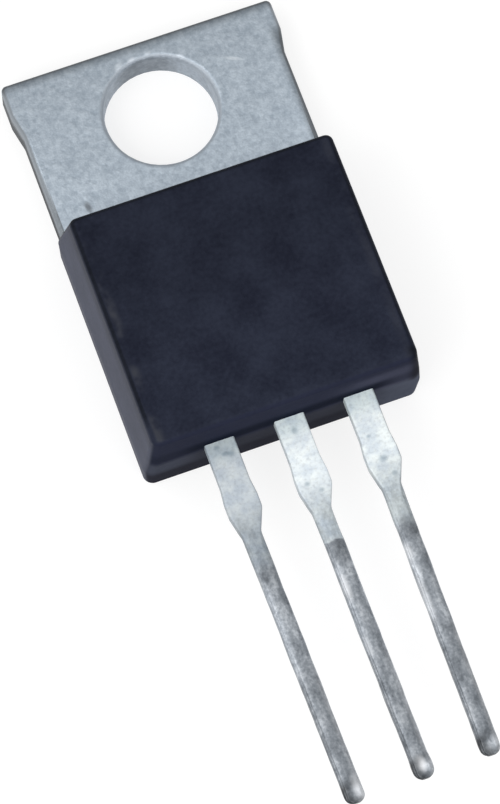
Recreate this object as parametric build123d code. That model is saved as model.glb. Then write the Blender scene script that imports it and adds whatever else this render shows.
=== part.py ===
from build123d import *
import math
import os

# A triac in a three-lead moulded package with a screw-down tab. All sizes are in millimetres and degrees.
# The origin is on the screw hole's axis at the tab's back face. Seen from the front with the leads down,
# +X is to the right, +Y is towards the tab's top edge and +Z comes out of the front face.

# Moulded body
body_width = 10.22
body_length = 9.46
body_thickness = 4.5
hole_to_body = 3.35
side_draft = 5.3
side_back_draft = 2.0
tab_end_draft = 12.0
lead_end_draft = 2.0
lead_end_back_draft = 4.2
tab_end_corner_radius = 0.27
lead_end_corner_radius = 0.36
front_edge_radius = 0.25

# Tab
tab_thickness = 1.27
hole_diameter = 4.08
hole_to_top = 2.76
neck_inset = 0.19
ear_step = 0.18
ear_length = 1.2
ear_taper_length = 0.9
tab_corner_radius = 0.2
punched_edge_radius = 0.17
hole_edge_radius = 0.2

# Die paddle, the part of the header under the plastic
neck_depth_in_body = 0.85
paddle_side_cover = 0.8
paddle_end_cover = 1.9
lock_step_width = 0.25
lock_step_height = 0.5
groove_width = 0.4
groove_depth = 0.15
groove_gap = 0.3

# Leads
lead_pitch = 2.54
lead_thickness = 0.5
lead_plane_height = 2.63
lead_length = 13.4
lead_wide_width = 1.08
lead_wide_offset = 0.08
lead_wide_length = 1.6
dambar_stub = 0.06
dambar_ramp_length = 0.55
dambar_length = 0.5
shoulder_length = 0.8
shoulder_radius = 0.35
lead_width = 0.7
lead_tip_round_share = 0.8
lead_edge_radius = 0.07
mt1_tip_shift = 0.12
mt2_tip_shift = 0.045
gate_tip_shift = -0.125

# Inner ends of the leads
post_end_cover = 0.8
post_length = 1.85
post_inner_overhang = 0.5
mt1_post_outer_overhang = 1.1
gate_post_outer_overhang = 0.8
post_corner_radius = 0.15
bend_run = 0.8
bend_start_gap = 0.3
bend_radius = 0.3
root_overlap = 0.6

# Die and its solder
die_size = 4.2
die_thickness = 0.25
moat_inset = 0.16
moat_width = 0.14
moat_depth = 0.07
solder_thickness = 0.07
solder_margin = 0.12

# Bond wires
mt1_wire_diameter = 0.38
gate_wire_diameter = 0.2
foot_squash_share = 0.1
foot_length = 0.7
loop_share = 0.3
mt1_wire_spread_share = 0.25
gate_pad_x_share = 0.33
gate_pad_y_share = 0.25

# Heights and lines that follow from the sizes above
body_half = body_width / 2
body_top_y = -hole_to_body
body_end_y = body_top_y - body_length
lead_top = lead_plane_height + lead_thickness / 2
lead_bottom = lead_plane_height - lead_thickness / 2
wide_half = lead_wide_width / 2
solder_top = tab_thickness + solder_thickness
die_top = solder_top + die_thickness
loop_top = lead_top + loop_share * (body_thickness - lead_top)
neck_half = body_half - neck_inset
ear_half = neck_half + ear_step
ear_end_y = hole_to_top - ear_length
neck_start_y = ear_end_y - ear_taper_length
neck_end_y = body_top_y - neck_depth_in_body
paddle_half = body_half - paddle_side_cover
paddle_end_y = body_end_y + paddle_end_cover
paddle_root_y = paddle_end_y + root_overlap
paddle_mid_y = (neck_end_y + paddle_end_y) / 2
die_y = paddle_mid_y
post_end_y = body_end_y + post_end_cover
post_start_y = post_end_y + post_length
ramp_start_y = body_end_y - lead_wide_length
ramp_end_y = ramp_start_y - dambar_ramp_length
shoulder_start_y = ramp_end_y - dambar_length
shoulder_end_y = shoulder_start_y - shoulder_length
lead_tip_y = body_end_y - lead_length


def run_for(height, draft):
    return height * math.tan(math.radians(draft))


def level_section(z, half_width, low_y, high_y):
    plate = Rectangle(2 * half_width, high_y - low_y)
    plate = fillet(plate.vertices().group_by(Axis.Y)[-1], tab_end_corner_radius)
    plate = fillet(plate.vertices().group_by(Axis.Y)[0], lead_end_corner_radius)
    return Pos(0, (low_y + high_y) / 2, z) * plate


def body_envelope():
    # The mould halves meet at the tab's front face along the sides and at the lead plane on the lead end.
    step_to_leads = lead_plane_height - tab_thickness
    step_to_front = body_thickness - tab_thickness
    leads_to_front = body_thickness - lead_plane_height
    back = level_section(
        0,
        body_half - run_for(tab_thickness, side_back_draft),
        body_end_y + run_for(lead_plane_height, lead_end_back_draft),
        body_top_y,
    )
    tab_level = level_section(
        tab_thickness,
        body_half,
        body_end_y + run_for(step_to_leads, lead_end_back_draft),
        body_top_y,
    )
    lead_level = level_section(
        lead_plane_height,
        body_half - run_for(step_to_leads, side_draft),
        body_end_y,
        body_top_y - run_for(step_to_leads, tab_end_draft),
    )
    front = level_section(
        body_thickness,
        body_half - run_for(step_to_front, side_draft),
        body_end_y + run_for(leads_to_front, lead_end_draft),
        body_top_y - run_for(step_to_front, tab_end_draft),
    )
    envelope = loft([back, tab_level, lead_level, front], ruled=True)
    return fillet(envelope.edges().group_by(Axis.Z)[-1], front_edge_radius)


def lead_outline(centre_x, tip_shift, inner_points):
    # The flat outline of one lead: its inner end, wide part, the cut tie bar's stubs, shoulder, thin part and tip.
    wide_x = centre_x + lead_wide_offset
    tip_x = centre_x + tip_shift
    stub_half = wide_half + dambar_stub
    thin_half = lead_width / 2
    left = [
        (wide_x - wide_half, ramp_start_y),
        (wide_x - stub_half, ramp_end_y),
        (wide_x - stub_half, shoulder_start_y),
        (centre_x - thin_half, shoulder_end_y),
        (tip_x - thin_half, lead_tip_y),
    ]
    right = [
        (tip_x + thin_half, lead_tip_y),
        (centre_x + thin_half, shoulder_end_y),
        (wide_x + stub_half, shoulder_start_y),
        (wide_x + stub_half, ramp_end_y),
        (wide_x + wide_half, ramp_start_y),
    ]
    outline = make_face(Polyline(*inner_points, *left, *right, close=True))
    outline = fillet(outline.vertices().group_by(Axis.Y)[0], lead_tip_round_share * thin_half)
    steps = [v for v in outline.vertices() if shoulder_end_y - shoulder_length < v.Y < body_end_y]
    return fillet(steps, shoulder_radius)


def post_edges(side, outer_overhang):
    # Left and right edges of a lead's bonding post. side is -1 on the left and +1 on the right.
    middle_x = side * lead_pitch + lead_wide_offset
    inner_x = middle_x - side * (wide_half + post_inner_overhang)
    outer_x = middle_x + side * (wide_half + outer_overhang)
    return sorted([inner_x, outer_x])


def post_lead(side, outer_overhang, tip_shift):
    # An outer lead with its flat bonding post inside the body.
    centre_x = side * lead_pitch
    edges_x = post_edges(side, outer_overhang)
    wide_x = centre_x + lead_wide_offset
    inner_points = [
        (wide_x + wide_half, post_end_y),
        (edges_x[1], post_end_y),
        (edges_x[1], post_start_y),
        (edges_x[0], post_start_y),
        (edges_x[0], post_end_y),
        (wide_x - wide_half, post_end_y),
    ]
    outline = lead_outline(centre_x, tip_shift, inner_points)
    outline = fillet([v for v in outline.vertices() if v.Y > body_end_y], post_corner_radius)
    lead = Pos(0, 0, lead_bottom) * extrude(outline, lead_thickness)
    levels = lead.edges().group_by(Axis.Z)
    return fillet(levels[0] + levels[-1], lead_edge_radius)


def bent_strip_side():
    # Side view of the centre lead: level with the paddle's front, then bent up to the lead plane.
    low_z = tab_thickness - lead_thickness / 2
    foot_y = paddle_end_y - bend_start_gap
    head_y = foot_y - bend_run
    slope = math.atan2(lead_plane_height - low_z, bend_run)
    corner_shift = lead_thickness / 2 * math.tan(slope / 2)
    past_tip_y = lead_tip_y - lead_thickness
    points = [
        (paddle_root_y, tab_thickness),
        (foot_y + corner_shift, tab_thickness),
        (head_y + corner_shift, lead_top),
        (past_tip_y, lead_top),
        (past_tip_y, lead_bottom),
        (head_y - corner_shift, lead_bottom),
        (foot_y - corner_shift, tab_thickness - lead_thickness),
        (paddle_root_y, tab_thickness - lead_thickness),
    ]
    side = make_face(Polyline(*points, close=True))
    bends = [v for v in side.vertices() if past_tip_y < v.X < paddle_root_y]
    return fillet(bends, bend_radius)


def centre_lead():
    inner_points = [
        (lead_wide_offset + wide_half, paddle_root_y),
        (lead_wide_offset - wide_half, paddle_root_y),
    ]
    outline = lead_outline(0, mt2_tip_shift, inner_points)
    strip = extrude(Plane.YZ * bent_strip_side(), lead_wide_width, both=True)
    lead = strip & extrude(outline, body_thickness)
    outer = [e for e in lead.edges() if e.center().Y < body_end_y]
    rims = [e for e in outer if abs(e.center().Z - lead_plane_height) > lead_thickness / 4]
    return fillet(rims, lead_edge_radius)


def header_plate():
    right = [
        (ear_half, hole_to_top),
        (ear_half, ear_end_y),
        (neck_half, neck_start_y),
        (neck_half, neck_end_y),
        (paddle_half, neck_end_y),
        (paddle_half, paddle_end_y),
    ]
    left = [(-x, y) for x, y in reversed(right)]
    outline = make_face(Polyline(*right, *left, close=True))
    outline = fillet(outline.vertices().group_by(Axis.Y)[-1], tab_corner_radius)
    plate = extrude(outline - Circle(hole_diameter / 2), tab_thickness)
    front_edges = plate.edges().group_by(Axis.Z)[-1]
    hole_edge = front_edges.filter_by(GeomType.CIRCLE).sort_by(SortBy.RADIUS)[-1]
    plate = fillet(hole_edge, hole_edge_radius)
    front_edges = plate.faces().sort_by(Axis.Z)[-1].outer_wire().edges()
    exposed_edges = [e for e in front_edges if e.center().Y > body_top_y]
    return fillet(exposed_edges, punched_edge_radius)


def header():
    # The tab, the die paddle with its locking steps and groove, and the centre lead, all stamped in one.
    plate = header_plate()
    step_length = neck_end_y - paddle_end_y
    for side in (-1, 1):
        step_x = side * (paddle_half - lock_step_width / 2)
        plate -= Pos(step_x, paddle_mid_y, lock_step_height / 2) * Box(lock_step_width, step_length, lock_step_height)
    end_step_y = paddle_end_y + lock_step_width / 2
    plate -= Pos(0, end_step_y, lock_step_height / 2) * Box(2 * paddle_half, lock_step_width, lock_step_height)
    groove_y = neck_end_y - groove_gap - groove_width / 2
    groove_points = [
        (groove_y - groove_width / 2, tab_thickness),
        (groove_y, tab_thickness - groove_depth),
        (groove_y + groove_width / 2, tab_thickness),
    ]
    groove = make_face(Polyline(*groove_points, close=True))
    plate -= extrude(Plane.YZ * groove, body_width, both=True)
    return plate + centre_lead()


def die_on_header():
    die = Pos(0, die_y, solder_top + die_thickness / 2) * Box(die_size, die_size, die_thickness)
    moat_outer = die_size - 2 * moat_inset
    moat_inner = moat_outer - 2 * moat_width
    moat = Rectangle(moat_outer, moat_outer) - Rectangle(moat_inner, moat_inner)
    return die - Pos(0, die_y, die_top - moat_depth) * extrude(moat, die_thickness)


def die_solder():
    size = die_size + 2 * solder_margin
    pad = Pos(0, die_y, tab_thickness + solder_thickness / 2) * Box(size, size, solder_thickness)
    return chamfer(pad.edges().group_by(Axis.Z)[-1], solder_thickness / 2)


def bond_wire(start, end, diameter):
    # A wire with a flattened foot on the die and on a lead's post, and a loop between them.
    lift = diameter / 2 - foot_squash_share * diameter
    first = Vector(start[0], start[1], die_top + lift)
    last = Vector(end[0], end[1], lead_top + lift)
    along = Vector(end[0] - start[0], end[1] - start[1], 0).normalized()
    half_foot = along * (foot_length / 2)
    middle = (first + last) / 2
    apex = Vector(middle.X, middle.Y, loop_top)
    loop = Spline(first + half_foot, apex, last - half_foot, tangents=[along, along])
    path = Line(first - half_foot, first + half_foot) + loop + Line(last - half_foot, last + half_foot)
    return sweep(Plane(first - half_foot, z_dir=along) * Circle(diameter / 2), path=path)


os.makedirs("parts", exist_ok=True)

mt1_lead = post_lead(-1, mt1_post_outer_overhang, mt1_tip_shift)
gate_lead = post_lead(1, gate_post_outer_overhang, gate_tip_shift)
triac_die = die_on_header()
post_y = (post_start_y + post_end_y) / 2
mt1_edges = post_edges(-1, mt1_post_outer_overhang)
gate_edges = post_edges(1, gate_post_outer_overhang)
mt1_step = mt1_wire_spread_share * (mt1_edges[1] - mt1_edges[0])
mt1_die_x = -mt1_wire_spread_share * die_size
gate_pad = (gate_pad_x_share * die_size, die_y - gate_pad_y_share * die_size)
wire_one = bond_wire((mt1_die_x, die_y + mt1_step / 2), (mt1_edges[0] + mt1_step, post_y), mt1_wire_diameter)
wire_two = bond_wire((mt1_die_x + 2 * mt1_step, die_y), (mt1_edges[1] - mt1_step, post_y), mt1_wire_diameter)
gate_wire = bond_wire(gate_pad, (sum(gate_edges) / 2, post_y), gate_wire_diameter)
inner_parts = {
    "tab_and_centre_lead": header(),
    "main_terminal_1_lead": mt1_lead,
    "gate_lead": gate_lead,
    "triac_die": triac_die,
    "die_solder": die_solder(),
    "mt1_bond_wire_1": wire_one - triac_die - mt1_lead,
    "mt1_bond_wire_2": wire_two - triac_die - mt1_lead,
    "gate_bond_wire": gate_wire - triac_die - gate_lead,
}
moulded_body = body_envelope()
for piece in inner_parts.values():
    moulded_body -= piece

for name, piece in {**inner_parts, "moulded_body": moulded_body}.items():
    export_step(piece, f"parts/{name}.step")
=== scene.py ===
import bmesh
import bpy
import math
from mathutils import Matrix, Vector, noise


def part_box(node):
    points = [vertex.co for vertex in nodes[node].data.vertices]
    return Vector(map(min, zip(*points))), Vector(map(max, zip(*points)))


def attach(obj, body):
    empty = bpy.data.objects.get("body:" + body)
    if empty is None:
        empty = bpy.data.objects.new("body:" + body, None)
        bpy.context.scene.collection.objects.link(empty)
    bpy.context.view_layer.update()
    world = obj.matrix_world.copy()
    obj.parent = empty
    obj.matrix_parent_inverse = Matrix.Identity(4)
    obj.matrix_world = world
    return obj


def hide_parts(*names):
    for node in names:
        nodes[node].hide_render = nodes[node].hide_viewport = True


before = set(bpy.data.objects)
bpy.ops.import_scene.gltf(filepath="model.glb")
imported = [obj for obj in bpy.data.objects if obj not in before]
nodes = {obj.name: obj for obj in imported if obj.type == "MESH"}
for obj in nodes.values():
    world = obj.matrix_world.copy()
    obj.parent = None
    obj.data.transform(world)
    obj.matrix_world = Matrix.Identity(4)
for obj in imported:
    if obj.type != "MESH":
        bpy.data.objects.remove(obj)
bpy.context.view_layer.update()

# Lengths are in metres, in the part's own frame. The origin is on the screw hole's axis at the tab's back
# face, +Y runs towards the tab's top edge and +Z comes out of the front face.
MM = 0.001


def mm(*values):
    # Lengths written in millimetres, as metres.
    return tuple(value * MM for value in values)


def shifted(start, offsets):
    # The places that lie at those offsets from a start.
    return tuple(start + offset for offset in offsets)


# Camera, at the photograph's viewing angle
camera_target = Vector((-0.876, -11.571, 2.0)) * MM
camera_distance = 146.97 * MM
camera_azimuth = math.radians(-22.187)
camera_elevation = math.radians(71.505)
camera_roll = math.radians(2.247)
camera_lens = 190.72
camera_sensor = 36.0
camera_clip_start = 1 * MM

# Floor and light
floor_size = 1.2
floor_height = -0.01 * MM
floor_colour = (0.32, 0.32, 0.32)
floor_glow = 0.73
world_bright = 1.0
world_dark = 0.47
dark_side = Vector((0.5, 0.75, 0.45)).normalized()
dark_start, dark_full = 0.2, 0.98
key_place, key_size, key_power = Vector((-0.30, -0.15, 0.35)), 0.30, 0.71
fill_place, fill_size, fill_power = Vector((0.15, -0.35, 0.30)), 0.30, 0.354

# Ways that a surface can face
front_way, left_way, right_way = (0, 0, 1), (-1, 0, 0), (1, 0, 0)
lead_way = (0, -1, 0)

# Places on the object that the finishes follow
body_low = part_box("moulded_body")[0]
tab_top_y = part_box("tab_and_centre_lead")[1].y
tab_right_x = 4.92 * MM
tab_front = 1.27 * MM
hole_rim = mm(2.3, 2.5)
parting_height = 2.63 * MM
front_height = 4.5 * MM
lead_cut_y = body_low.y + 0.3 * MM
neck_y = -16.2 * MM

# In the finishes below, tones are pairs from dark to light and a shade is the share of a colour that is left.
# A pair named after a place or a facing says where a shade or a change of finish begins and where it is full.

# Range that most of a noise lies in, and the share of a small mark's reach that has its full strength
noise_low, noise_high = 0.36, 0.64
mark_core = 0.2

# Plating of the tab
plating_tones = ((0.475, 0.555, 0.64), (0.69, 0.78, 0.87))
sheared_tones = ((0.345, 0.39, 0.44), (0.495, 0.55, 0.615))
# Outer walls from the foot up, dark low down partly as a fracture zone and partly as painted shade by the
# floor, and the hole's lip in painted light
outer_wall_stops = [(0.10, (0.06, 0.066, 0.073)), (0.45, (0.08, 0.087, 0.095)), (0.80, (0.32, 0.35, 0.38))]
hole_lip_colour = (0.44, 0.485, 0.535)
# Bright specks round the hole, partly burrs and partly painted highlights, also used for a scratch
speck_and_highlight_colour = (0.74, 0.80, 0.86)
smudge_colour = (0.17, 0.186, 0.21)
# Shares of painted shade: towards the top of the tab, at its top and right edges, in the top of the hole and
# on the rolled left edge
tab_upper_shade, tab_top_shade, tab_edge_shade = 0.86, 0.86, 0.44
hole_top_shade, rolled_edge_shade = 0.66, 0.78
plating_metallic, plating_roughness, wall_roughness = 0.8, 0.48, 0.6
plating_blotch, plating_grain = mm(0.45, 0.15)
plating_detail, plating_grain_share = 2.0, 0.6
plating_bump = 0.03 * MM
tab_upper_zone, tab_top_zone = mm(-3.0, -0.6), mm(-1.0, 3.4)
# Where the painted shade at the top and right edges and on the rolled left edge begins and is full
top_edge, right_edge = shifted(tab_top_y, mm(-0.50, -0.05)), shifted(tab_right_x, mm(-0.40, -0.02))
right_edge_zone = mm(2.0, 1.2)
rolled_zone_x, rolled_zone_y = mm(-3.2, -4.2), mm(-3.6, -2.4)
rolled_start, rolled_end = (0.05, 0.3), (0.9, 0.6)
frontal_facing, wall_facing, hole_top_facing = (0.05, 0.4), (0.995, 0.85), (0.75, 0.99)
lip_height, lip_facing = mm(0.80, 1.05), (0.85, 0.45)
wall_wander = 0.06

# Small marks on the tab's front in mm: middle X and Y, half length and half width, angle, strength and
# colour.
# The five bright marks round the hole are partly burrs and partly painted highlights; the sixth is a scratch.
tab_marks = [
    (-0.89, 2.06, 0.30, 0.18, 40, 0.55, speck_and_highlight_colour),
    (-0.38, 2.13, 0.24, 0.14, 25, 0.8, speck_and_highlight_colour),
    (0.29, 2.21, 0.22, 0.09, 10, 0.5, speck_and_highlight_colour),
    (1.33, 1.70, 0.26, 0.10, -38, 0.7, speck_and_highlight_colour),
    (1.88, 0.82, 0.13, 0.09, -60, 0.6, speck_and_highlight_colour),
    (3.07, 1.00, 0.42, 0.10, -25, 0.75, speck_and_highlight_colour),
    (-3.66, -2.62, 0.16, 0.32, 10, 0.75, smudge_colour),
]

# Epoxy of the body
front_tones = ((0.0119, 0.0142, 0.0258), (0.0230, 0.0275, 0.0453))
# Darker copy of the front tones as painted shade on its rounded edges
edge_tones = ((0.006, 0.0076, 0.0127), (0.0119, 0.0144, 0.0229))
# Greyer sides, partly their own finish and partly painted light reflected from the floor
side_tones = ((0.051, 0.057, 0.083), (0.068, 0.075, 0.110))
# A paler line just inside the front's long edges, weaker on the right
pale_line_colour, pale_line_right_share = (0.039, 0.042, 0.054), 0.3
front_shade, side_shade, corner_shade = 0.82, 0.62, 0.30
epoxy_specular, epoxy_roughness, end_roughness = 0.051, 0.52, 0.8
epoxy_cloud, epoxy_grain = mm(1.4, 0.16)
epoxy_grain_share = 0.4
epoxy_bump = 0.008 * MM
front_zone, edge_zone = shifted(body_low.y, mm(1.3, 6.8)), shifted(body_low.y, mm(0.4, 1.3))
pale_line_inside, pale_line_outside, pale_line_left = mm(4.24, 4.5), mm(4.68, 4.56), mm(1.0, -1.0)
pale_line_clouds = (0.40, 0.62)
side_zone = shifted(front_height, mm(-1.1, -0.25))
edge_facing, sideways_facing, endways_facing = (0.985, 0.90), (0.70, 0.97), (0.35, 0.85)
# Where the painted shade at the right corner of the lead end begins and is full
corner_x = mm(4.35, 4.75)
corner_y = shifted(body_low.y, mm(0.7, 0.35))
corner_z = shifted(parting_height, mm(-0.6, -0.1))

# Lead end of the body: above the parting line, below it, at its two corners, the dark line and the dark foot.
# The lighter tones to the upper right, below the line and at the corners are painted light, the foot is
# painted shade, and the dark line is partly the parting line and partly painted shade.
end_upper, end_upper_right = (0.0195, 0.0229, 0.043), (0.050, 0.054, 0.086)
end_lower, end_left, end_right = (0.036, 0.039, 0.056), (0.056, 0.063, 0.090), (0.084, 0.095, 0.133)
end_line, end_foot = (0.0025, 0.005, 0.015), (0.015, 0.016, 0.027)
end_mottle = ((0.85, 0.85, 0.85), (1.0, 1.0, 1.0))
end_lit_x, end_lit_z = mm(1.0, 3.6), shifted(front_height, mm(-0.3, -0.8))
end_left_x, end_right_x = mm(-2.6, -4.3), mm(2.6, 4.0)
end_lower_z = shifted(parting_height, mm(0, -0.45))
line_bottom, line_top = shifted(parting_height, mm(-0.1, 0.2)), shifted(parting_height, mm(0.9, 0.4))
line_ends, line_end_share = mm(4.2, 3.2), 0.45
foot_x, foot_z = mm(3.4, 2.6), mm(1.6, 0.9)

# Tin on the wide part of the leads
tin_tones = ((0.72, 0.795, 0.86), (0.93, 0.99, 1.0))
# Tones that the tin is multiplied by: painted shadow by the body, grey at the neck, and stains
tin_shadow_by_body, tin_at_neck, stain_tone = (0.84, 0.88, 0.885), (0.65, 0.67, 0.69), (0.62, 0.665, 0.70)
tin_grain_shade, tin_streak_shade = 0.84, 0.72
tin_metallic, tin_roughness = 0.15, 0.55
tin_blotch, tin_grain = mm(0.45, 0.12)
tin_blotch_roughness, tin_grain_range = 0.55, (0.4, 0.8)
body_shadow_zone, neck_zone = shifted(body_low.y, mm(-1.0, -0.3)), shifted(neck_y, mm(1.3, -0.3))

# Solder on the thin part of the leads
solder_stops = [(0.36, (0.224, 0.247, 0.276)), (0.50, (0.388, 0.423, 0.466)), (0.64, (0.65, 0.69, 0.737))]
glint_colour = (0.95, 0.97, 1.0)
# Shares of the dark band below the dip, of painted shade on the leads' rounded sides and of the crescent of
# painted shade at the tip
band_shade, turned_shade, tip_shade = 0.76, 0.85, 0.20
# A darker lower part of the solder, with painted shade on its left side and painted light on its right side
lower_shade, lower_left_shade, lower_right_light = 0.86, 0.70, 0.22
solder_metallic, solder_roughness = 0.9, 0.38
streak_size, skin_grain = mm(0.35, 0.11)
streak_detail, streak_roughness, streak_stretch = 4.0, 0.65, (1, 0.45, 1)
skin_grain_share = 0.26
skin_bump = 0.012 * MM
dip_wander_size, dip_wander = mm(0.3, 0.03)
dip_wander_range = (0.3, 0.7)
lower_zone = mm(-20.8, -22.4)
lower_facing, turned_facing, right_facing = (0.1, 0.6), (0.85, 0.25), (0.15, 0.6)
# Where the painted highlight and the crescent of painted shade at the tip lie
tip_zone = mm(0.9, 0.5)
glint_above_tip = 0.50
tip_lit_place, tip_lit_reach = (0.22, 0.45, 0), mm(0.50, 0.62)

# Metals inside the body
metal_range = (0.3, 0.7)
metal_grain = 0.25 * MM
metal_bump = 0.01 * MM
silicon_tones, silicon_roughness = ((0.20, 0.21, 0.24), (0.26, 0.27, 0.31)), 0.2
die_solder_tones, die_solder_roughness = ((0.50, 0.50, 0.50), (0.62, 0.62, 0.61)), 0.4
wire_tones, wire_roughness = ((0.80, 0.80, 0.80), (0.88, 0.88, 0.87)), 0.3

# Shading of the tab's mesh
sharp_angle = math.radians(35)
level_limit = 0.9999
weld_distance, cut_distance = mm(0.0001, 0.00001)

# Form of the solder skin on the thin part of each lead
skin_voxel = 0.035
skin_roundness = 2.8
skin_start = 0.2 * MM
skin_full = 0.6 * MM
wave_share, wave_across, wave_along = 0.05, 0.6, 0.9
ripple_share, ripple_across, ripple_along = 0.025, 1.5, 2.5
bead_length = 0.3 * MM
bead_middle = 1.5 * bead_length
dome_length = 0.65 * MM
dome_share = 0.5
slice_above_tip, slice_half = 1 * MM, 0.1 * MM

# The leads from left to right. Each has the line of its dip and the blur of that line, the distances below it
# at which the dark band starts and stops fading, the tint of its tin, the seed of its waves, the bead at its
# tip and the painted shade of its right side. The rest is in mm: the painted highlight at the tip (X from the
# middle, half width, half length and strength), painted highlights on the solder (the same, with Y second)
# and stains on the tin (X, Y, half width and half length).
leads = [
    {
        "piece": "dipped_mt1_lead",
        "node": "main_terminal_1_lead",
        "dip": mm(-17.45, 0.45),
        "band": mm(0.5, 1.1),
        "tint": (0.68, 0.69, 0.71),
        "seed": 1.0,
        "bead": 0.02,
        "right_shade": 0.90,
        "glint": (0.20, 0.30, 0.70, 0.55),
        "painted_highlights": [],
        "stains": [(-2.22, -13.37, 0.18, 0.17), (-2.61, -13.00, 0.17, 0.13), (-2.41, -13.31, 0.20, 0.13)],
    },
    {
        "piece": "dipped_centre_lead",
        "node": "tab_and_centre_lead",
        "dip": mm(-17.45, 0.04),
        "band": mm(0.5, 1.1),
        "tint": (1.0, 1.0, 1.0),
        "seed": 4.0,
        "bead": 0.08,
        "right_shade": 1.0,
        "glint": (0.0, 0.25, 0.40, 0.95),
        "painted_highlights": [(-0.22, -19.15, 0.20, 0.75, 0.6), (-0.24, -21.3, 0.16, 0.6, 0.3)],
        "stains": [(0.09, -13.32, 0.17, 0.21), (-0.16, -15.27, 0.17, 0.14), (0.23, -15.63, 0.16, 0.14)],
    },
    {
        "piece": "dipped_gate_lead",
        "node": "gate_lead",
        "dip": mm(-17.60, 0.35),
        "band": mm(0.5, 0.8),
        "tint": (1.0, 1.0, 0.99),
        "seed": 7.0,
        "bead": 0.03,
        "right_shade": 0.75,
        "glint": (0.20, 0.20, 0.35, 0.15),
        "painted_highlights": [(-0.20, -18.7, 0.22, 0.55, 0.55), (-0.20, -20.4, 0.20, 1.5, 0.4)],
        "stains": [(2.40, -14.38, 0.12, 0.10), (2.60, -15.28, 0.24, 0.19), (2.78, -15.90, 0.15, 0.15)],
    },
]


def new_material(name):
    material = bpy.data.materials.new(name)
    material.use_nodes = True
    shader = material.node_tree.nodes["Principled BSDF"]
    return material, material.node_tree, shader


def add(tree, kind, inputs=None, **settings):
    node = tree.nodes.new(kind)
    for key, value in settings.items():
        setattr(node, key, value)
    for key, value in (inputs or {}).items():
        if isinstance(value, bpy.types.NodeSocket):
            tree.links.new(value, node.inputs[key])
        else:
            node.inputs[key].default_value = value
    return node


def calculate(tree, operation, first, second=0.0):
    return add(tree, "ShaderNodeMath", {0: first, 1: second}, operation=operation).outputs[0]


def times(tree, *values):
    product = values[0]
    for value in values[1:]:
        product = calculate(tree, "MULTIPLY", product, value)
    return product


def vector_calculate(tree, operation, first, second=(0, 0, 0)):
    return add(tree, "ShaderNodeVectorMath", {0: first, 1: second}, operation=operation).outputs


def place(tree):
    return add(tree, "ShaderNodeTexCoord").outputs["Object"]


def along(tree, axis):
    return add(tree, "ShaderNodeSeparateXYZ", {"Vector": place(tree)}).outputs[axis]


def facing(tree, direction):
    # How far the surface faces a direction in the part's frame, from 1 to -1 for a unit direction.
    normal = add(tree, "ShaderNodeTexCoord").outputs["Normal"]
    return vector_calculate(tree, "DOT_PRODUCT", normal, direction)["Value"]


def fade(tree, value, start, end, low=0.0, high=1.0):
    # From low where the value is at start to high where it is at end, with a soft step between them.
    inputs = {"Value": value, "From Min": start, "From Max": end, "To Min": low, "To Max": high}
    return add(tree, "ShaderNodeMapRange", inputs, interpolation_type="SMOOTHSTEP").outputs["Result"]


def speckle(tree, size, detail=3.0, roughness=0.6, stretch=(1, 1, 1), offset=(0, 0, 0)):
    # Noise whose blotches are about that size across.
    mapped = add(tree, "ShaderNodeMapping", {"Vector": place(tree), "Location": offset, "Scale": stretch})
    inputs = {"Vector": mapped.outputs["Vector"], "Scale": 1 / size, "Detail": detail, "Roughness": roughness}
    return add(tree, "ShaderNodeTexNoise", inputs).outputs["Fac"]


def mixed(tree, first, second, share):
    # A sum of two values in which the second has that share.
    return calculate(tree, "ADD", times(tree, first, 1 - share), times(tree, second, share))


def ramp(tree, factor, stops):
    node = add(tree, "ShaderNodeValToRGB", {"Fac": factor})
    elements = node.color_ramp.elements
    while len(elements) < len(stops):
        elements.new(0.5)
    for element, (position, colour) in zip(elements, stops):
        element.position = position
        element.color = (*colour, 1)
    return node.outputs["Color"]


def toned(tree, factor, tones, limits=(noise_low, noise_high)):
    return ramp(tree, factor, list(zip(limits, tones)))


def blend(tree, factor, first, second, kind="MIX"):
    # In this node the two colours are inputs 6 and 7, and the mixed colour is output 2.
    node = add(tree, "ShaderNodeMix", data_type="RGBA", blend_type=kind)
    for index, value in ((0, factor), (6, first), (7, second)):
        if isinstance(value, bpy.types.NodeSocket):
            tree.links.new(value, node.inputs[index])
        elif index:
            node.inputs[index].default_value = (*value, 1)
        else:
            node.inputs[index].default_value = value
    return node.outputs[2]


def darker(tree, factor, colour, share):
    # The colour brought down to that share of itself where the factor is 1.
    return blend(tree, factor, colour, (share, share, share), "MULTIPLY")


def mark(tree, middle_point, reach, angle=0.0):
    # 1 in the middle of a small oval seen from the front, fading to 0 at its edge.
    turn, scale = (0, 0, angle), (*reach, MM)
    inputs = {"Vector": place(tree), "Location": middle_point, "Rotation": turn, "Scale": scale}
    local = add(tree, "ShaderNodeMapping", inputs, vector_type="TEXTURE").outputs["Vector"]
    return fade(tree, vector_calculate(tree, "LENGTH", local)["Value"], 1.0, mark_core)


def bump(tree, shader, height, distance):
    node = add(tree, "ShaderNodeBump", {"Height": height, "Distance": distance, "Strength": 1.0})
    tree.links.new(node.outputs["Normal"], shader.inputs["Normal"])


def tab_face_colour(tree, mottle):
    # Mottled plating with painted shade towards the top, and small marks on the front, of which the bright
    # ones round the hole are partly painted highlights.
    y = along(tree, "Y")
    colour = toned(tree, mottle, plating_tones)
    # Painted shade that deepens towards the top of the tab.
    colour = darker(tree, fade(tree, y, *tab_upper_zone), colour, tab_upper_shade)
    colour = darker(tree, fade(tree, y, *tab_top_zone), colour, tab_top_shade)
    for mark_x, mark_y, half_long, half_wide, angle, strength, mark_colour in tab_marks:
        middle_point = (*mm(mark_x, mark_y), tab_front)
        oval = mark(tree, middle_point, mm(half_long, half_wide), math.radians(angle))
        colour = blend(tree, times(tree, oval, strength), colour, mark_colour)
    return colour


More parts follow.
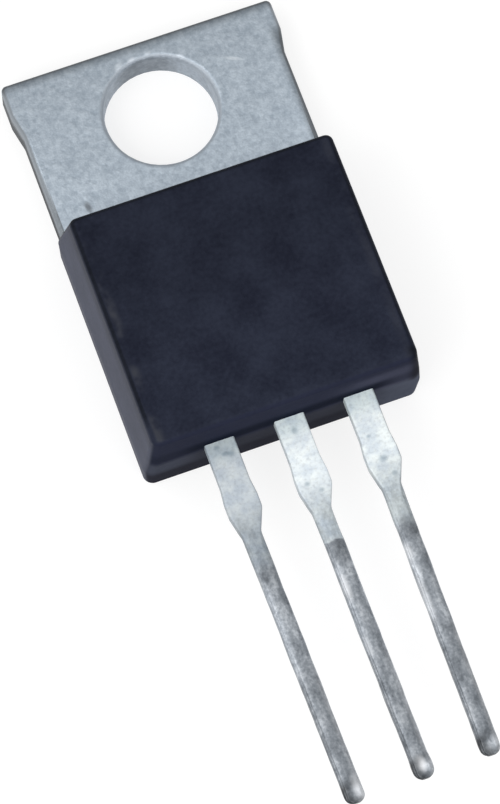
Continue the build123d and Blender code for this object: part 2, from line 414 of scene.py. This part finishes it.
def tab_wall_colour(tree, mottle):
    # Sheared walls, with painted shade in the top of the hole and painted light at its lip. The outer walls
    # are dark low down, partly a duller fracture zone and partly painted shade where they meet the floor.
    z = along(tree, "Z")
    endwise = facing(tree, lead_way)
    level_place = vector_calculate(tree, "MULTIPLY", place(tree), (1, 1, 0))["Vector"]
    from_axis = vector_calculate(tree, "LENGTH", level_place)["Value"]
    colour = toned(tree, mottle, sheared_tones)
    # Painted shade in the top of the hole.
    colour = darker(tree, fade(tree, endwise, *hole_top_facing), colour, hole_top_shade)
    # Painted light on the hole's lip.
    lip = times(
        tree,
        fade(tree, from_axis, *reversed(hole_rim)),
        fade(tree, z, *lip_height),
        fade(tree, endwise, *lip_facing),
    )
    colour = blend(tree, lip, colour, hole_lip_colour)
    # Outer walls dark low down, partly a duller fracture zone and partly painted shade by the floor.
    wander = fade(tree, mottle, noise_low, noise_high, -wall_wander, wall_wander)
    height = calculate(tree, "ADD", calculate(tree, "DIVIDE", z, tab_front), wander)
    return blend(tree, fade(tree, from_axis, *hole_rim), colour, ramp(tree, height, outer_wall_stops))


def tab_edge_colour(tree, colour, frontal):
    # Painted shade on the rolled left edge, and painted shade towards the top and right edges of the front.
    x, y = along(tree, "X"), along(tree, "Y")
    leftward = facing(tree, left_way)
    rolled = times(
        tree,
        fade(tree, leftward, *rolled_start),
        fade(tree, leftward, *rolled_end),
        fade(tree, y, *rolled_zone_y),
        fade(tree, x, *rolled_zone_x),
    )
    colour = darker(tree, rolled, colour, rolled_edge_shade)
    by_right = times(tree, fade(tree, x, *right_edge), fade(tree, y, *right_edge_zone))
    by_edge = calculate(tree, "MAXIMUM", fade(tree, y, *top_edge), by_right)
    by_edge = times(tree, by_edge, fade(tree, frontal, *frontal_facing))
    return darker(tree, by_edge, colour, tab_edge_shade)


def plated_copper():
    # Matt grey plating with fine mottling, rougher on the sheared walls.
    material, tree, shader = new_material("plated_copper")
    frontal = facing(tree, front_way)
    blotches = speckle(tree, plating_blotch, plating_detail)
    mottle = mixed(tree, blotches, speckle(tree, plating_grain, plating_detail), plating_grain_share)
    turned = fade(tree, calculate(tree, "ABSOLUTE", frontal), *wall_facing)
    colour = blend(tree, turned, tab_face_colour(tree, mottle), tab_wall_colour(tree, mottle))
    roughness = fade(tree, turned, 0.0, 1.0, plating_roughness, wall_roughness)
    shader.inputs["Metallic"].default_value = plating_metallic
    tree.links.new(tab_edge_colour(tree, colour, frontal), shader.inputs["Base Color"])
    tree.links.new(roughness, shader.inputs["Roughness"])
    bump(tree, shader, mottle, plating_bump)
    return material


def epoxy_front_colour(tree, mottle, clouds):
    # Fine front, lighter towards the leads. It has a paler line just inside its long edges, most on the left,
    # and painted shade on its rounded edges.
    x, y = along(tree, "X"), along(tree, "Y")
    off_middle = calculate(tree, "ABSOLUTE", x)
    colour = toned(tree, mottle, front_tones)
    colour = darker(tree, fade(tree, y, *front_zone), colour, front_shade)
    # A paler line just inside the long edges, most on the left.
    pale_line = times(
        tree,
        fade(tree, off_middle, *pale_line_inside),
        fade(tree, off_middle, *pale_line_outside),
        fade(tree, clouds, *pale_line_clouds),
        fade(tree, x, *pale_line_left, pale_line_right_share, 1.0),
    )
    colour = blend(tree, pale_line, colour, pale_line_colour)
    # Painted shade on the rounded edges of the front, except near the lead end.
    rounded = times(tree, fade(tree, facing(tree, front_way), *edge_facing), fade(tree, y, *edge_zone))
    return blend(tree, rounded, colour, toned(tree, mottle, edge_tones))


def epoxy_side_colour(tree, mottle):
    # Greyer sides, partly an eroded finish and partly painted light reflected from the floor, with painted
    # shade near the front.
    near_front = fade(tree, along(tree, "Z"), *side_zone)
    return darker(tree, near_front, toned(tree, mottle, side_tones), side_shade)


def lead_end_colour(tree, mottle):
    # Dark above the parting line with painted light towards the right, and lighter below it with painted
    # light reflected from the floor, most at the corners. Over the leads a dark line, partly the parting line
    # and partly painted shade, and painted shade at the foot.
    x, z = along(tree, "X"), along(tree, "Z")
    off_middle = calculate(tree, "ABSOLUTE", x)
    # Painted light on the upper part towards the right.
    lit_right = times(tree, fade(tree, x, *end_lit_x), fade(tree, z, *end_lit_z))
    upper = blend(tree, lit_right, end_upper, end_upper_right)
    # Painted light reflected from the floor on the lower part, most at its corners.
    lower = blend(tree, fade(tree, x, *end_left_x), end_lower, end_left)
    lower = blend(tree, fade(tree, x, *end_right_x), lower, end_right)
    colour = blend(tree, fade(tree, z, *end_lower_z), upper, lower)
    # A dark line over the leads, partly the parting line and partly painted shade.
    line = times(
        tree,
        fade(tree, z, *line_bottom),
        fade(tree, z, *line_top),
        fade(tree, off_middle, *line_ends, line_end_share, 1.0),
    )
    # Painted shade at the foot, by the floor.
    foot = times(tree, fade(tree, z, *foot_z), fade(tree, x, *foot_x))
    colour = blend(tree, line, colour, end_line)
    colour = blend(tree, foot, colour, end_foot)
    return blend(tree, 1.0, colour, toned(tree, mottle, end_mottle), "MULTIPLY")


def black_epoxy():
    # Blue-black filled epoxy, with tones of its own on the front, the sides and the lead end that are partly
    # painted light and shade, and a rougher lead end.
    material, tree, shader = new_material("black_epoxy")
    clouds = speckle(tree, epoxy_cloud)
    grain = speckle(tree, epoxy_grain)
    mottle = mixed(tree, clouds, grain, epoxy_grain_share)
    sideways = fade(tree, calculate(tree, "ABSOLUTE", facing(tree, right_way)), *sideways_facing)
    endways = fade(tree, facing(tree, lead_way), *endways_facing)
    colour = epoxy_front_colour(tree, mottle, clouds)
    colour = blend(tree, sideways, colour, epoxy_side_colour(tree, mottle))
    colour = blend(tree, endways, colour, lead_end_colour(tree, mottle))
    # Painted shade at the right corner of the lead end, above the parting line.
    right_corner = times(
        tree,
        fade(tree, along(tree, "X"), *corner_x),
        fade(tree, along(tree, "Y"), *corner_y),
        fade(tree, along(tree, "Z"), *corner_z),
    )
    roughness = fade(tree, endways, 0.0, 1.0, epoxy_roughness, end_roughness)
    shader.inputs["Specular IOR Level"].default_value = epoxy_specular
    tree.links.new(darker(tree, right_corner, colour, corner_shade), shader.inputs["Base Color"])
    tree.links.new(roughness, shader.inputs["Roughness"])
    bump(tree, shader, grain, epoxy_bump)
    return material


def tin_colour(tree, lead, tip, skin):
    # Whitish matt tin with stains on a lead's wide part, painted shadow by the body, and grey and streaky
    # at the neck.
    y = along(tree, "Y")
    blotches = speckle(tree, tin_blotch, roughness=tin_blotch_roughness, offset=(lead["seed"] * MM, 0, 0))
    grain = fade(tree, speckle(tree, tin_grain, 1.0), *tin_grain_range)
    colour = blend(tree, 1.0, toned(tree, blotches, tin_tones), lead["tint"], "MULTIPLY")
    colour = darker(tree, grain, colour, tin_grain_shade)
    # Painted shadow of the body on the tin next to it.
    colour = blend(tree, fade(tree, y, *body_shadow_zone), colour, tin_shadow_by_body, "MULTIPLY")
    for stain_x, stain_y, half_wide, half_long in lead["stains"]:
        oval = mark(tree, (*mm(stain_x, stain_y), tip.z), mm(half_wide, half_long))
        colour = blend(tree, oval, colour, stain_tone, "MULTIPLY")
    neck = fade(tree, y, *neck_zone)
    streaks = times(tree, neck, fade(tree, skin, noise_high, noise_low))
    colour = darker(tree, streaks, colour, tin_streak_shade)
    return blend(tree, neck, colour, tin_at_neck, "MULTIPLY")


def solder_colour(tree, lead, tip, skin):
    # Streaky solder with a dark band below the line of the dip, painted highlights on its left, and a darker
    # lower part with painted shade on its left side and painted light on its right side.
    y = along(tree, "Y")
    dip_y = lead["dip"][0]
    band_start, band_stop = lead["band"]
    lower = fade(tree, y, *lower_zone)
    colour = ramp(tree, skin, solder_stops)
    colour = darker(tree, fade(tree, y, dip_y - band_stop, dip_y - band_start), colour, band_shade)
    # Painted highlights on the left of the solder.
    for offset, highlight_y, half_wide, half_long, strength in lead["painted_highlights"]:
        oval = mark(tree, (tip.x + offset * MM, highlight_y * MM, tip.z), mm(half_wide, half_long))
        colour = blend(tree, times(tree, oval, strength), colour, glint_colour)
    colour = darker(tree, lower, colour, lower_shade)
    # Painted shade on the left side of the lower part and painted light on its right side.
    on_left = times(tree, lower, fade(tree, facing(tree, left_way), *lower_facing))
    on_right = times(tree, lower, fade(tree, facing(tree, right_way), *lower_facing), lower_right_light)
    colour = darker(tree, on_left, colour, lower_left_shade)
    return blend(tree, on_right, colour, glint_colour)


def tip_colour(tree, lead, tip, colour):
    # A painted highlight on the domed tip and a crescent of painted shade at its lower left.
    offset, half_wide, half_long, strength = lead["glint"]
    glint = mark(tree, tip + Vector((offset, glint_above_tip, 0)) * MM, mm(half_wide, half_long))
    colour = blend(tree, times(tree, glint, strength), colour, glint_colour)
    lit = mark(tree, tip + Vector(tip_lit_place) * MM, tip_lit_reach)
    at_tip = fade(tree, along(tree, "Y"), *shifted(tip.y, tip_zone))
    return darker(tree, times(tree, at_tip, calculate(tree, "SUBTRACT", 1.0, lit)), colour, tip_shade)


def dipped_tin(lead, tip):
    # Tin above the line of the dip and solder below it.
    material, tree, shader = new_material(lead["piece"])
    dip_y, dip_blur = lead["dip"]
    seed_offset = (0, lead["seed"] * MM, 0)
    streaks = speckle(tree, streak_size, streak_detail, streak_roughness, streak_stretch, seed_offset)
    skin = mixed(tree, streaks, speckle(tree, skin_grain, 1.0), skin_grain_share)
    wander = fade(tree, speckle(tree, dip_wander_size, 2.0), *dip_wander_range, -dip_wander, dip_wander)
    wandering_y = calculate(tree, "ADD", along(tree, "Y"), wander)
    dipped = fade(tree, wandering_y, dip_y + dip_blur, dip_y - dip_blur)
    colour = blend(tree, dipped, tin_colour(tree, lead, tip, skin), solder_colour(tree, lead, tip, skin))
    # Painted shade on the lead's rounded sides, and on its right side.
    colour = darker(tree, fade(tree, facing(tree, front_way), *turned_facing), colour, turned_shade)
    colour = darker(tree, fade(tree, facing(tree, right_way), *right_facing), colour, lead["right_shade"])
    metallic = fade(tree, dipped, 0.0, 1.0, tin_metallic, solder_metallic)
    roughness = fade(tree, dipped, 0.0, 1.0, tin_roughness, solder_roughness)
    tree.links.new(tip_colour(tree, lead, tip, colour), shader.inputs["Base Color"])
    tree.links.new(metallic, shader.inputs["Metallic"])
    tree.links.new(roughness, shader.inputs["Roughness"])
    bump(tree, shader, skin, skin_bump)
    return material


def plain_metal(name, tones, roughness):
    material, tree, shader = new_material(name)
    mottle = speckle(tree, metal_grain)
    shader.inputs["Metallic"].default_value = 1.0
    shader.inputs["Roughness"].default_value = roughness
    tree.links.new(toned(tree, mottle, tones, metal_range), shader.inputs["Base Color"])
    bump(tree, shader, mottle, metal_bump)
    return material


def dress(node, material):
    nodes[node].data.materials.clear()
    nodes[node].data.materials.append(material)


def add_piece(name, mesh, material, node):
    mesh.materials.clear()
    mesh.materials.append(material)
    piece = bpy.data.objects.new(name, mesh)
    bpy.context.scene.collection.objects.link(piece)
    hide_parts(node)
    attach(piece, "root")


def cut_copy(node, keep_above):
    # A closed copy of a node's mesh on one side of the plane across the centre lead, just inside the body.
    solid = bmesh.new()
    solid.from_mesh(nodes[node].data)
    bmesh.ops.remove_doubles(solid, verts=solid.verts, dist=weld_distance)
    everything = solid.verts[:] + solid.edges[:] + solid.faces[:]
    cut = bmesh.ops.bisect_plane(
        solid,
        geom=everything,
        dist=cut_distance,
        plane_co=(0, lead_cut_y, 0),
        plane_no=(0, 1, 0),
        clear_inner=keep_above,
        clear_outer=not keep_above,
    )
    rim = [item for item in cut["geom_cut"] if isinstance(item, bmesh.types.BMEdge)]
    bmesh.ops.edgeloop_fill(solid, edges=rim)
    mesh = bpy.data.meshes.new(node)
    solid.to_mesh(mesh)
    solid.free()
    return mesh


def hold_level(mesh):
    # Keeps the shading of the level faces apart from that of the rounded edges beside them.
    solid = bmesh.new()
    solid.from_mesh(mesh)
    for edge in solid.edges:
        level = [abs(face.normal.z) > level_limit for face in edge.link_faces]
        if any(level) and not all(level):
            edge.smooth = False
    solid.to_mesh(mesh)
    solid.free()


def remeshed(mesh):
    # An even fine mesh of the same solid. It is made at a thousand times the size, because the modifier has a
    # least voxel.
    mesh.transform(Matrix.Scale(1 / MM, 4))
    holder = bpy.data.objects.new("holder", mesh)
    bpy.context.scene.collection.objects.link(holder)
    modifier = holder.modifiers.new("even", "REMESH")
    modifier.mode = "VOXEL"
    modifier.voxel_size = skin_voxel
    modifier.use_smooth_shade = True
    even = bpy.data.meshes.new_from_object(holder.evaluated_get(bpy.context.evaluated_depsgraph_get()))
    bpy.data.objects.remove(holder)
    even.transform(Matrix.Scale(MM, 4))
    return even


def section(points, y):
    # Middle and half size of a lead's section at a place along it.
    near = [p for p in points if y - slice_half < p.y < y + slice_half]
    low = Vector((min(p.x for p in near), 0, min(p.z for p in near)))
    high = Vector((max(p.x for p in near), 0, max(p.z for p in near)))
    return (low + high) / 2, (high - low) / 2


def step(value, start, end):
    share = min(max((value - start) / (end - start), 0), 1)
    return share * share * (3 - 2 * share)


def swell(across, lengthwise, deep, seed):
    # Slow waves and finer ripples along a lead, as a share of its half size.
    wave = noise.noise(Vector((across * wave_across + seed, lengthwise * wave_along, deep * wave_across)))
    ripple_place = Vector((across * ripple_across, lengthwise * ripple_along + seed, deep * ripple_across))
    return 1 + wave_share * wave + ripple_share * noise.noise(ripple_place)


def solder_skin(mesh, lead):
    # Rounds the thin part as a dipped lead is, with slow waves along it, a bead near its tip and a domed end.
    # Gives back the point at the tip.
    points = [v.co.copy() for v in mesh.vertices]
    tip_y = min(p.y for p in points)
    upper_y, lower_y = lead["dip"][0], tip_y + slice_above_tip
    upper, half = section(points, upper_y)
    lower, _ = section(points, lower_y)
    for vertex, point in zip(mesh.vertices, points):
        weight = step(point.y, neck_y + skin_start, neck_y - skin_full)
        centre = upper.lerp(lower, (point.y - upper_y) / (lower_y - upper_y))
        across = (point.x - centre.x) / half.x
        deep = (point.z - centre.z) / half.z
        square = max(abs(across), abs(deep))
        if weight == 0 or square == 0:
            continue
        rounded = (abs(across) ** skin_roundness + abs(deep) ** skin_roundness) ** (1 / skin_roundness)
        bead = lead["bead"] * math.exp(-(((point.y - tip_y - bead_middle) / bead_length) ** 2))
        swollen = swell(across, point.y / MM, deep, lead["seed"]) + bead
        scale = 1 + weight * (swollen * square / rounded - 1)
        dome = dome_share * step(point.y, tip_y + dome_length, tip_y) * weight
        vertex.co.x = centre.x + across * half.x * scale
        vertex.co.z = centre.z + deep * half.z * scale * (1 - dome)
    return Vector((lower.x, tip_y, lower.z))


def make_tab(material):
    mesh = cut_copy("tab_and_centre_lead", True)
    mesh.shade_smooth()
    mesh.set_sharp_from_angle(angle=sharp_angle)
    hold_level(mesh)
    add_piece("plated_tab", mesh, material, "tab_and_centre_lead")


def make_lead(lead):
    node = lead["node"]
    solid = cut_copy(node, False) if node == "tab_and_centre_lead" else nodes[node].data.copy()
    skin = remeshed(solid)
    tip = solder_skin(skin, lead)
    add_piece(lead["piece"], skin, dipped_tin(lead, tip), node)


def make_camera():
    data = bpy.data.cameras.new("camera")
    data.lens = camera_lens
    data.sensor_width = camera_sensor
    data.clip_start = camera_clip_start
    camera = bpy.data.objects.new("camera", data)
    level = math.cos(camera_elevation)
    back_x, back_y = math.sin(camera_azimuth) * level, -math.cos(camera_azimuth) * level
    back = Vector((back_x, back_y, math.sin(camera_elevation)))
    turn = (-back).to_track_quat("-Z", "Y").to_matrix().to_4x4() @ Matrix.Rotation(camera_roll, 4, "Z")
    camera.matrix_world = Matrix.Translation(camera_target + back * camera_distance) @ turn
    bpy.context.scene.collection.objects.link(camera)
    bpy.context.scene.camera = camera


def make_floor():
    # A pale matt floor that takes the object's shadow and is seen, mirrored and seen through as white.
    mesh = bpy.data.meshes.new("floor")
    half = floor_size / 2
    corners = [(-half, -half, 0), (half, -half, 0), (half, half, 0), (-half, half, 0)]
    mesh.from_pydata(corners, [], [(0, 1, 2, 3)])
    floor = bpy.data.objects.new("floor", mesh)
    floor.location.z = floor_height
    bpy.context.scene.collection.objects.link(floor)
    material, tree, shader = new_material("floor")
    shader.inputs["Base Color"].default_value = (*floor_colour, 1)
    shader.inputs["Roughness"].default_value = 1.0
    shader.inputs["Specular IOR Level"].default_value = 0.0
    shader.inputs["Emission Color"].default_value = (1, 1, 1, 1)
    path = add(tree, "ShaderNodeLightPath").outputs
    seen = calculate(tree, "MAXIMUM", path["Is Camera Ray"], path["Is Glossy Ray"])
    seen = calculate(tree, "MAXIMUM", seen, path["Is Transmission Ray"])
    tree.links.new(calculate(tree, "MULTIPLY", seen, floor_glow), shader.inputs["Emission Strength"])
    mesh.materials.append(material)


def make_world():
    # Even white light that is darker from the upper right, beyond the tab.
    world = bpy.data.worlds.new("studio")
    world.use_nodes = True
    tree = world.node_tree
    background = tree.nodes["Background"]
    background.inputs["Color"].default_value = (1, 1, 1, 1)
    direction = add(tree, "ShaderNodeTexCoord").outputs["Generated"]
    towards = vector_calculate(tree, "DOT_PRODUCT", direction, dark_side)["Value"]
    shade = fade(tree, towards, dark_start, dark_full, world_bright, world_dark)
    tree.links.new(shade, background.inputs["Strength"])
    bpy.context.scene.world = world


def make_lamp(name, lamp_place, size, power):
    data = bpy.data.lights.new(name, "AREA")
    data.size = size
    data.energy = power
    lamp = bpy.data.objects.new(name, data)
    aim = (camera_target - lamp_place).to_track_quat("-Z", "Y").to_matrix().to_4x4()
    lamp.matrix_world = Matrix.Translation(lamp_place) @ aim
    bpy.context.scene.collection.objects.link(lamp)


copper = plated_copper()
dress("moulded_body", black_epoxy())
dress("triac_die", plain_metal("silicon", silicon_tones, silicon_roughness))
dress("die_solder", plain_metal("solder", die_solder_tones, die_solder_roughness))
bond_wire = plain_metal("bond_wire", wire_tones, wire_roughness)
for wire in ("mt1_bond_wire_1", "mt1_bond_wire_2", "gate_bond_wire"):
    dress(wire, bond_wire)

make_tab(copper)
for lead in leads:
    make_lead(lead)

make_camera()
make_floor()
make_world()
make_lamp("key", key_place, key_size, key_power)
make_lamp("fill", fill_place, fill_size, fill_power)

bpy.context.scene.view_settings.view_transform = "Standard"
